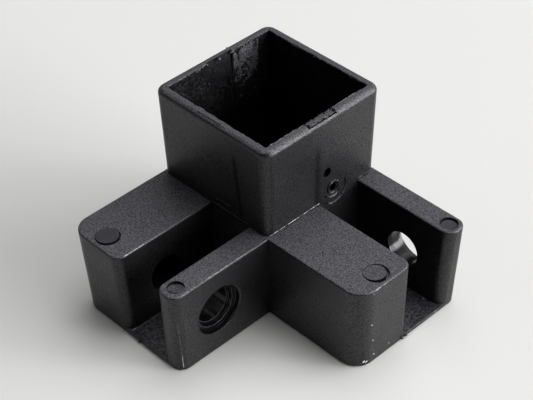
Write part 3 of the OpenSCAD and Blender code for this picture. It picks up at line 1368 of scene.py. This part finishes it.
    def burrs(self) -> Object:
        """Makes the dark crumbs at the arms' lower lips and on the rim.

        Returns:
            All the crumbs as one object.
        """
        lips = [Stamp((36.6, 2.3, 0.5), (0.7, 0.45, 0.6)).turned(Turn.LEFT_ARM),
                Stamp((36.55, -1.7, 0.55), (0.7, 0.9, 0.7)), Stamp((36.55, -0.7, 0.65), (0.7, 1.0, 0.6)),
                Stamp((36.5, 0.4, 0.75), (0.6, 0.8, 0.5))]
        rim = [Stamp((-14.45, 3.5, 38.7), (0.7, 0.5, 0.45)), Stamp((-5.3, 12.95, 38.76), (0.5, 0.35, 0.3)),
               Stamp((13.3, 3.2, 38.76), (0.4, 0.35, 0.3)), Stamp((13.2, -3.5, 38.76), (0.35, 0.4, 0.3))]
        return MarkTrees.stamp_solids("burrs", Shape.CRUMB, lips + rim, self.nylon, 0.25, 11)


@dataclass
class Moulding:
    """The whole fitting in one piece."""

    sizes: FittingSizes
    marks: ToolMarks
    smooth_angle: float = 32.0
    flat_angle: float = 0.15
    merge_mm: float = 0.002
    upward: float = 0.75
    face_weight: int = 90

    def build(self, finishes: Sequence[Material]) -> Object:
        """Builds the piece and dresses it.

        Args:
            finishes: Materials in the order of Finish.

        Returns:
            The finished object.
        """
        tube = TubeSocket(self.sizes)
        arms = [ClevisArm(self.sizes, turn) for turn in Turn]
        body = tube.body()
        SolidBuilder.combine(body, [arm.body() for arm in arms], "UNION")
        SolidBuilder.combine(body, [tube.cavity()], "DIFFERENCE")
        SolidBuilder.combine(body, [arm.slot() for arm in arms], "DIFFERENCE")
        SolidBuilder.combine(body, [arm.bore() for arm in arms], "DIFFERENCE")
        SolidBuilder.combine(body, self.marks.pockets() + self.marks.creases(), "DIFFERENCE")
        SolidBuilder.combine(body, [self.marks.torn_wall()], "DIFFERENCE")
        SolidBuilder.combine(body, self.marks.lands() + self.marks.gate_pad(), "UNION")
        SolidBuilder.combine(body, self.marks.holes(), "DIFFERENCE")
        body.name = "fitting_moulding"
        self.clean(body)
        body.data.materials.clear()
        for finish in finishes:
            body.data.materials.append(finish)
        self.assign_finishes(body)
        self.soften(body)
        return body

    def clean(self, body: Object) -> None:
        """Merges stray points and flattens what the joins left split.

        Args:
            body: The moulding.
        """
        mesh = bmesh.new()
        mesh.from_mesh(body.data)
        bmesh.ops.remove_doubles(mesh, verts=mesh.verts, dist=self.merge_mm * MM)
        bmesh.ops.dissolve_degenerate(mesh, dist=self.merge_mm * MM, edges=mesh.edges)
        bmesh.ops.dissolve_limit(mesh, angle_limit=math.radians(self.flat_angle), verts=mesh.verts,
                                 edges=mesh.edges)
        mesh.to_mesh(body.data)
        mesh.free()

    def assign_finishes(self, body: Object) -> None:
        """Gives each face the surface that its part of the mould had, with painted light on upward faces and
        painted shade on the slots' floors and in the screw hole and the gate pit.

        Args:
            body: The moulding.
        """
        points = [vertex.co / MM for vertex in body.data.vertices]
        for face in body.data.polygons:
            corners = [points[index] for index in face.vertices]
            face.material_index = self.finish_at(corners, face.normal).value

    def finish_at(self, corners: Sequence[Vector], normal: Vector) -> Finish:
        """Tells which surface a face has.

        Args:
            corners: The face's corners, in millimetres.
            normal: The face's normal.

        Returns:
            The finish.
        """
        s = self.sizes
        middle = sum(corners, Vector()) / len(corners)
        in_mouth = all(max(abs(c.x), abs(c.y)) < s.mouth_half + 0.05 for c in corners)
        if in_mouth and middle.z > s.socket_floor - 0.1:
            return Finish.CORE
        # Painted shade: the insides of the screw hole and the gate pit are near black
        for y, z, radius in ToolMarks.TORN_HOLES:
            if all(math.hypot(c.y - y, c.z - z) < radius and c.x < s.tube_half(c.z) + 0.1 for c in corners):
                if 0.0 < middle.x < s.tube_half(middle.z) - 0.05:
                    return Finish.HOLE_SHADE
        blind = s.slot_low(s.pivot_z) - s.blind_depth
        for turn in Turn:
            back = turn.matrix().inverted()
            local = [back @ corner for corner in corners]
            reach = max(math.hypot(c.x - s.pivot_x, c.z - s.pivot_z) for c in local)
            if reach < s.head_r + 0.02 and all(blind - 0.1 < c.y < s.half for c in local):
                return Finish.POLISHED
        # Upward faces get paler copies of the nylon, painted light from above; the slots' floors get a darker
        # copy, painted shade in the slots
        if normal.z <= self.upward:
            return Finish.SIDE
        if middle.z < s.floor_t + 1.0:
            return Finish.SLOT_FLOOR
        for pin in ToolMarks.PINS:
            centre = pin.turn.matrix() @ Vector((pin.along, pin.across, s.arm_h))
            if pin.ground and all((c.xy - centre.xy).length < pin.disc_d / 2 + 0.1 for c in corners):
                return Finish.PIN_FACE
        return Finish.TOP

    def soften(self, body: Object) -> None:
        """Shades rounded edges smooth and keeps flat faces flat.

        Args:
            body: The moulding.
        """
        body.data.shade_smooth()
        body.data.set_sharp_from_angle(angle=math.radians(self.smooth_angle))
        weights = body.modifiers.new("weights", "WEIGHTED_NORMAL")
        weights.keep_sharp = True
        weights.weight = self.face_weight


@dataclass
class Studio:
    """A pale table under soft light, with the camera where the photographer stood."""

    azimuth: float = 46.67
    elevation: float = 40.07
    roll: float = -1.516
    distance: float = 297.5
    aim_height: float = 17.28
    shift_right: float = -0.54
    shift_up: float = -4.39
    focal_px: float = 1540.9
    floor_colour: str = "#d9d9d7"
    box_distance: float = 2.0
    box_size: float = 1.5
    room_colour: str = "#f2f3f5"
    room_strength: float = 0.045
    clip: Point2 = (0.01, 20.0)

    # The soft boxes, as (name, azimuth from +X, elevation, watts)
    BOXES = (
        ("low_right_box", 20.0, 9.0, 68.0),
        ("low_far_box", 50.0, 9.0, 62.0),
        ("low_back_box", 65.0, 15.0, 3.5),
        ("high_right_box", 60.0, 62.0, 9.2),
        ("back_box", 120.0, 65.0, 13.8),
        ("top_box", 0.0, 85.0, 6.8),
        ("left_box", 225.0, 35.0, 3.0),
    )

    def camera(self) -> None:
        """Places the camera by its angles about the fitting."""
        azimuth, elevation, roll = (math.radians(a) for a in (self.azimuth, self.elevation, self.roll))
        back = Vector((math.sin(azimuth) * math.cos(elevation), -math.cos(azimuth) * math.cos(elevation),
                       math.sin(elevation)))
        level = Vector((math.cos(azimuth), math.sin(azimuth), 0.0))
        upright = back.cross(level)
        right = level * math.cos(roll) + upright * math.sin(roll)
        up = upright * math.cos(roll) - level * math.sin(roll)
        place = Vector((0.0, 0.0, self.aim_height)) + back * self.distance
        place += right * self.shift_right + up * self.shift_up
        data = bpy.data.cameras.new("camera")
        data.sensor_width = SENSOR_WIDTH
        data.lens = self.focal_px * SENSOR_WIDTH / PHOTO_WIDTH
        data.clip_start, data.clip_end = self.clip
        camera = link_new("camera", data)
        camera.matrix_world = Matrix.Translation(place * MM) @ Matrix((right, up, back)).transposed().to_4x4()
        bpy.context.scene.camera = camera

    def floor(self) -> Object:
        """Makes the pale table.

        Returns:
            The floor.
        """
        mesh = bmesh.new()
        bmesh.ops.create_grid(mesh, x_segments=1, y_segments=1, size=FLOOR_HALF)
        data = bpy.data.meshes.new("floor")
        mesh.to_mesh(data)
        mesh.free()
        floor = link_new("floor", data)
        material = bpy.data.materials.new("pale matt card")
        tree = emptied_tree(material)
        shader = add_node(tree, "ShaderNodeBsdfPrincipled", {},
                          {"Base Color": hex_to_linear(self.floor_colour), "Roughness": 0.95,
                           "Specular IOR Level": 0.1})
        add_node(tree, "ShaderNodeOutputMaterial", {}, {"Surface": shader.outputs["BSDF"]})
        data.materials.append(material)
        return floor

    def lights(self) -> None:
        """Hangs the soft boxes round the table and sets the room's light."""
        for name, azimuth, elevation, power in self.BOXES:
            self.softbox(name, azimuth, elevation, power)
        world = bpy.data.worlds.new("room")
        bpy.context.scene.world = world
        tree = emptied_tree(world)
        shader = add_node(tree, "ShaderNodeBackground", {},
                          {"Color": hex_to_linear(self.room_colour), "Strength": self.room_strength})
        add_node(tree, "ShaderNodeOutputWorld", {}, {"Surface": shader.outputs["Background"]})

    def softbox(self, name: str, azimuth: float, elevation: float, power: float) -> None:
        """Hangs one square soft box that faces the fitting.

        Args:
            name: Its name.
            azimuth: Its direction about Z from +X, in degrees.
            elevation: Its direction above the table, in degrees.
            power: Its power, in watts.
        """
        around, above = math.radians(azimuth), math.radians(elevation)
        out = Vector((math.cos(around) * math.cos(above), math.sin(around) * math.cos(above),
                      math.sin(above)))
        data = bpy.data.lights.new(name, "AREA")
        data.shape = "SQUARE"
        data.size = self.box_size
        data.energy = power
        lamp = link_new(name, data)
        lamp.location = out * self.box_distance
        lamp.rotation_euler = (-out).to_track_quat("-Z", "Y").to_euler()


def main() -> None:
    """Builds the fitting's looks and the studio around it."""
    logging.basicConfig(level=logging.INFO, format="%(name)s: %(message)s")
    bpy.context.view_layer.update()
    sizes = FittingSizes.from_frame(frame)
    finishes = [FINISHES[finish].build() for finish in Finish]
    marks = ToolMarks(sizes, finishes[Finish.SIDE.value], finishes[Finish.TOP.value], WHITENED_AND_HIGHLIGHT.build())
    moulding = Moulding(sizes, marks).build(finishes)
    pieces = [moulding, marks.flash(), marks.faint_flash(), marks.scuffs(), marks.burrs(), marks.torn_mouth(),
              marks.wall_smear(), marks.wall_specks()]
    for piece in pieces:
        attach(piece, BODY)
        log.info("%s: %d faces", piece.name, len(piece.data.polygons))
    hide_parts(NODE)
    studio = Studio()
    studio.camera()
    studio.floor()
    studio.lights()
    bpy.context.scene.view_settings.view_transform = "Standard"


if __name__ == "__main__":
    main()
